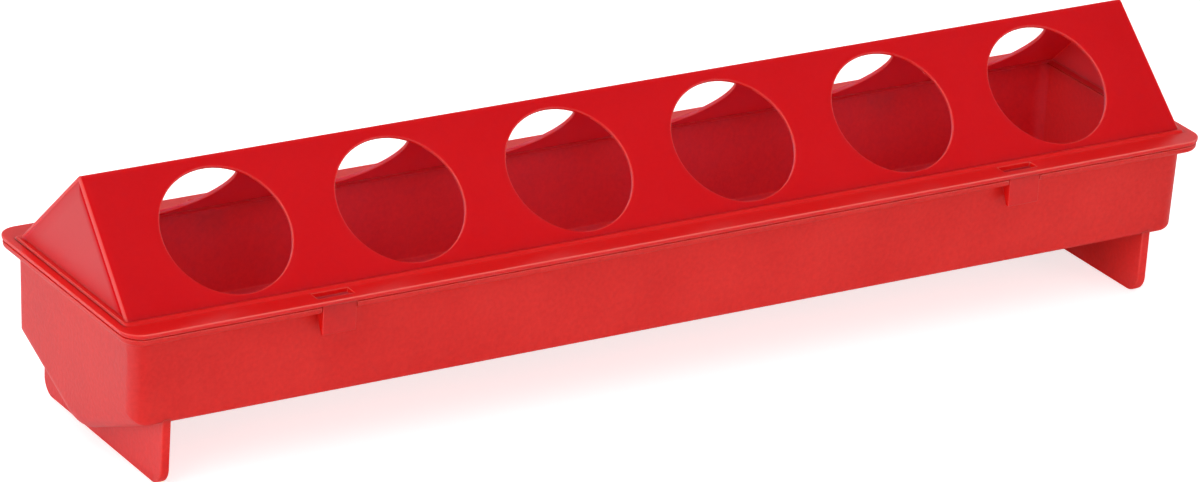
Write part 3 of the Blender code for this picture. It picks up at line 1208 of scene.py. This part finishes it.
    def base_loop(self, inner: bool) -> np.ndarray:
        """The level loop in which the roof's outer or inner face ends, hidden in the flange.

        Args:
            inner: whether it is the inner face.

        Returns:
            An n x 3 array.
        """
        inset, radius, depth = self.face(inner)
        _, end = self.down_range(inset, radius, self.foot_z)
        x = self.ridge_stations(self.foot_z, depth)
        front = self.on_slope(x, end, -inset, -1)
        reach = float(front[0, 1])
        y = np.linspace(reach, -reach, self.cell_steps + 1)[1:-1]
        right = spots(self.gable_x(self.foot_z, depth), y, self.foot_z)
        half = np.concatenate([front, right])
        return np.concatenate([half, half * [-1, -1, 1]])

    def roof(self) -> bpy.types.Object:
        """The gable roof as one closed shell.

        Returns:
            The piece.
        """
        patches = Patches()
        for side in BOTH_SIDES:
            self.hole_cells(patches, side)
        self.ridge(patches, False)
        self.ridge(patches, True)
        self.gables(patches)
        patches.grid(np.array([self.base_loop(False), self.base_loop(True)]), wrap=True)
        return patches.to_object("lid_roof")

    def opening(self, z: float) -> LoopSize:
        """Size of the roof's hollow at a height, a hair inside it.

        Args:
            z: the height.

        Returns:
            The loop's size.
        """
        apex = self.apex_z - self.wall / math.cos(self.slope)
        half_y = (apex - z) / math.tan(self.slope) - HAIR
        return (self.gable_x(z, self.recess + self.wall) - HAIR, half_y, self.inner_radius, z)

    def flange(self) -> bpy.types.Object:
        """The flange and the low step on it, with the four moulding windows.

        A closed profile is carried round: over the step, across the flange, round its rim,
        back under it and up the hollow into the roof's wall. At each window the quads above
        and below are left out and four straight walls join the two edges. The rim's rounded
        edge gets a painted highlight, less and less round its corners towards the ends.

        Returns:
            The piece.
        """
        patches = Patches()
        top, under, rim = self.flange_z, self.under_z, self.rim_rounding
        step_top, middle = top + self.step_height, top + self.step_height / 2
        step = (self.end_x + self.step_end, self.half_base + self.step_side, self.step_corner)
        outer = (self.envelope.half_length, self.envelope.half_width, self.fit.corner_radius)
        window_high = outer[1] - self.fit.setback - self.fit.hook_plate
        window_low = window_high - self.window_width
        hidden = (self.end_x - self.wall, self.half_base - self.hidden_depth, self.hidden_corner)
        near, far = grown(step, window_low - step[1]), grown(outer, window_high - outer[1])

        profile = [(*hidden, step_top)]
        run = np.array([self.step_end_run, self.step_side_run, self.step_end_run])
        for part in share(self.step_fall_steps):
            fall = self.step_height * (1 - math.cos(math.pi * part)) / 2
            profile.append((*(step - run * (1 - part)), step_top - fall))
        window_top = len(profile)
        profile += [(*near, top), (*far, top), (*grown(outer, -rim - self.rim_line), top)]
        line_start = len(profile)
        turn = arc(90, 0, self.rim_steps)
        profile += edge_profile(grown(outer, -rim), top - rim, rim, turn)
        line_end = len(profile)
        low_rim = self.rim_under_rounding
        turn = arc(0, -90, self.rim_steps)
        profile += eased_edge(outer, under + low_rim, self.rim_under_runs, low_rim, turn)
        window_under = len(profile)
        profile += [(*far, under), (*near, under), self.opening(under), self.opening(middle)]
        profile += [(*hidden, middle), (*hidden, step_top)]

        plan = LoopPlan.with_gaps(self.fit.hook_middle, self.window_length / 2)
        rings = np.array([plan.loop(*size) for size in profile])
        inside = plan.in_gap()
        keep = np.ones((len(rings) - 1, rings.shape[1]), bool)
        keep[[window_top, window_under]] = ~(inside & np.roll(inside, -1))
        # Painted highlight along the rim's rounded edge, weaker round the corners.
        painted_light = np.zeros(rings.shape[:2])
        lines = slice(line_start, line_end)
        corner = (outer[0] - outer[2], outer[0])
        painted_light[lines] = np.interp(np.abs(rings[lines, :, 0]), corner, self.rim_highlight)
        patches.grid(rings, keep, wrap=True, painted_light=painted_light)

        low, high = plan.gaps[1]
        mid = (low + high) / 2
        xs = np.array([low, mid, high, high, mid, low, low])
        ys = np.array([window_low] * 3 + [window_high] * 3 + [window_low])
        for sign_x in BOTH_SIDES:
            for sign_y in BOTH_SIDES:
                rows = [spots(sign_x * xs, sign_y * ys, z) for z in (top, under)]
                patches.grid(np.array(rows))
        return patches.to_object("lid_flange")

    def hooks(self) -> bpy.types.Object:
        """The four snap hooks: a plate under the flange, its inner side a barb that thins out.

        Returns:
            The piece.
        """
        patches = Patches()
        outer = self.envelope.half_width - self.fit.setback
        inner = outer - self.fit.hook_plate
        tip = inner - self.barb_reach
        root = self.under_z + self.fit.flange_thickness / 2
        foot = self.under_z - self.hook_drop
        catch = self.envelope.rim_z - self.fit.lip_thickness - self.fit.clearance
        y = (outer, inner, inner, tip, tip, outer - self.hook_foot, outer)
        z = (root, root, catch, catch, catch - self.barb_face, foot, foot)
        outline = rounded_outline(list(zip(y, z, self.hook_radii)), self.hook_steps)
        low = self.fit.hook_middle - self.fit.hook_width / 2
        high = low + self.fit.hook_width
        for side in BOTH_SIDES:
            line = outline if side > 0 else (outline * [-1, 1])[::-1]
            plate(patches, line, low, high, self.hook_edge)
            plate(patches, line, -high, -low, self.hook_edge)
        return patches.to_object("lid_hooks")

    def build(self) -> list[bpy.types.Object]:
        """Makes and dresses the glossy roof, the satin flange and the duller hooks.

        Returns:
            The three pieces.
        """
        gloss, satin = self.gloss.build(), self.satin.build()
        roof, flange, hooks = self.roof(), self.flange(), self.hooks()
        dull = self.dull.build()
        for piece, finish in ((roof, gloss), (flange, satin), (hooks, dull)):
            dress(piece, finish, Body.LID)
        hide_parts(Body.LID.value)
        return [roof, flange, hooks]


@dataclass(frozen=True)
class Softbox:
    """A flat lamp: where it stands from the feeder, its size and how bright its face is."""

    name: str
    way: tuple[float, float, float]
    width: float
    height: float
    level: float
    distance: float = 1.6


@dataclass
class Studio:
    """White floor and surroundings, the softboxes, and the camera of the photograph."""

    camera_place: tuple[float, float, float] = (-0.755567, -1.195675, 0.615466)
    azimuth_deg: float = -32.1395
    elevation_deg: float = 22.6181
    roll_deg: float = 3.1469
    lens: float = 189.745
    floor_half: float = 3.0
    sky_level: float = 0.78
    horizon_level: float = 1.0
    zenith_level: float = 0.05
    ceiling_starts: tuple[float, float] = (0.30, 0.55)
    floor_paint: float = 0.85
    floor_lift: float = 0.68
    glow_way: tuple[float, float, float] = (-0.53, 0.85, 0.0)
    glow_span: tuple[float, float] = (0.03, 0.09)
    glow_colour: Colour = (0.31, 0.32, 0.37)
    softboxes: tuple[Softbox, ...] = (
        Softbox("left", (-0.87, -0.28, 0.42), 1.1, 1.2, 1.6),
        Softbox("front_right", (0.49, -0.85, 0.22), 0.55, 0.9, 1.4),
        Softbox("front_left", (-0.15, -0.93, 0.33), 0.5, 0.6, 1.3),
        Softbox("above", (-0.35, 0.10, 0.93), 1.0, 1.0, 0.8),
    )

    def camera(self) -> None:
        """The camera: its back points by azimuth and elevation, then it rolls."""
        data = bpy.data.cameras.new("camera")
        data.sensor_width = 36.0
        data.lens = self.lens
        data.clip_start, data.clip_end = 0.01, 50.0
        azimuth, elevation = math.radians(self.azimuth_deg), math.radians(self.elevation_deg)
        level = math.cos(elevation)
        back = Vector(
            (math.sin(azimuth) * level, -math.cos(azimuth) * level, math.sin(elevation))
        )
        right = Vector((0, 0, 1)).cross(back).normalized()
        turn = Matrix((right, back.cross(right), back)).transposed().to_4x4()
        roll = Matrix.Rotation(math.radians(self.roll_deg), 4, "Z")
        made = add_object("camera", data)
        made.matrix_world = Matrix.Translation(self.camera_place) @ turn @ roll
        bpy.context.scene.camera = made

    def floor(self) -> None:
        """A wide white floor that shows white and keeps a faint shadow.

        To mirror-like rays it also glows, behind the feeder and to the left.
        """
        mesh = bpy.data.meshes.new("floor")
        reach = self.floor_half
        corners = [(-reach, -reach, 0), (reach, -reach, 0), (reach, reach, 0), (-reach, reach, 0)]
        mesh.from_pydata(corners, [], [(0, 1, 2, 3)])
        made = add_object("floor", mesh)
        finish = bpy.data.materials.new("white_floor")
        wiring = Wiring(finish)
        wiring.nodes.clear()
        path = wiring.add("LightPath", {}).outputs
        place = wiring.add("TexCoord", {}).outputs["Object"]
        along = wiring.maths("DOT_PRODUCT", place, self.glow_way, vector=True)
        behind = wiring.ramp(along, *self.glow_span)
        mirrored = wiring.maths("MULTIPLY", path["Is Glossy Ray"], behind)
        lift = wiring.maths("MULTIPLY", path["Is Camera Ray"], self.floor_lift)
        shine = wiring.add("Emission", {"Color": (*self.glow_colour, 1.0), "Strength": mirrored})
        glow = wiring.add("Emission", {"Strength": lift})
        light = wiring.add("AddShader", {0: shine.outputs[0], 1: glow.outputs[0]})
        paint = wiring.add("BsdfDiffuse", {"Color": (*[self.floor_paint] * 3, 1.0)})
        both = wiring.add("AddShader", {0: paint.outputs[0], 1: light.outputs[0]})
        wiring.add("OutputMaterial", {"Surface": both.outputs[0]})
        mesh.materials.append(finish)

    def surroundings(self) -> None:
        """A world that shows white, lights evenly, and reflects bright walls and a dark ceiling."""
        world = bpy.data.worlds.new("studio")
        bpy.context.scene.world = world
        wiring = Wiring(world)
        wiring.nodes.clear()
        path = wiring.add("LightPath", {}).outputs
        place = wiring.add("TexCoord", {}).outputs["Generated"]
        height = wiring.add("SeparateXYZ", {0: place}).outputs["Z"]
        walls = wiring.ramp(height, *self.ceiling_starts, self.horizon_level, self.zenith_level)
        level = wiring.mix(path["Is Glossy Ray"], self.sky_level, walls, "FLOAT")
        seen = wiring.mix(path["Is Camera Ray"], level, 1.0, "FLOAT")
        glow = wiring.add("Background", {"Strength": seen})
        wiring.add("OutputWorld", {"Surface": glow.outputs[0]})

    def lamp(self, softbox: Softbox) -> None:
        """A softbox that faces the feeder.

        Args:
            softbox: its place, size and level.
        """
        data = bpy.data.lights.new(softbox.name, "AREA")
        data.shape = "RECTANGLE"
        data.size, data.size_y = softbox.width, softbox.height
        data.energy = softbox.level * math.pi * softbox.width * softbox.height
        made = add_object(softbox.name, data)
        made.location = Vector(softbox.way).normalized() * softbox.distance
        made.rotation_mode = "QUATERNION"
        made.rotation_quaternion = made.location.to_track_quat("Z", "Y")

    def build(self) -> None:
        """Sets up the floor, the surroundings, the lamps and the camera."""
        self.floor()
        self.surroundings()
        for softbox in self.softboxes:
            self.lamp(softbox)
        self.camera()


# The end sheen shares below paint a pinker sheen on the faces that look along the ridge.
LID_PLASTIC = MouldedPlastic(
    slot=Slot.LID,
    colour=(0.695, 0.006, 0.011),
    faded=(0.735, 0.008, 0.013),
    roughness=0.20,
    roughness_swing=0.03,
    end_roughness=0.38,
    skin_depth=0.002 * MM,
    flow_depth=0.05 * MM,
    end_painted_sheen=0.15,
    end_shine=0.3,
    skin_scale=900.0,
    flow_scale=55.0,
)
SATIN_PLASTIC = MouldedPlastic(
    slot=Slot.LID,
    colour=(0.88, 0.006, 0.007),
    faded=(0.93, 0.010, 0.010),
    roughness=0.34,
    roughness_swing=0.05,
    end_roughness=0.34,
    skin_depth=0.03 * MM,
    flow_depth=0.03 * MM,
)
# Hooks: a darker red, with a weaker painted edge highlight.
HOOK_PLASTIC = replace(
    SATIN_PLASTIC, colour=(0.66, 0.005, 0.005), faded=(0.82, 0.014, 0.012), edge_highlight=0.2
)
TROUGH_PLASTIC = MouldedPlastic(
    slot=Slot.TROUGH,
    colour=(0.73, 0.008, 0.006),
    faded=(0.91, 0.025, 0.019),
    roughness=0.42,
    roughness_swing=0.05,
    end_roughness=0.42,
    skin_depth=0.08 * MM,
    flow_depth=0.05 * MM,
    ior=1.41,
    end_painted_sheen=0.07,
)


def main() -> None:
    """Builds the trough, the lid and the studio and reports each piece."""
    logging.basicConfig(level=logging.INFO, format="%(name)s: %(message)s")
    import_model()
    envelope, fit = Envelope.from_frame(), Fit()
    trough = Trough(envelope, fit, TROUGH_PLASTIC)
    lid = Lid(envelope, fit, LID_PLASTIC, SATIN_PLASTIC, HOOK_PLASTIC)
    for part in (trough, lid):
        for piece in part.build():
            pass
    bpy.context.scene.view_settings.view_transform = "Standard"
    Studio().build()


if __name__ == "__main__":
    main()
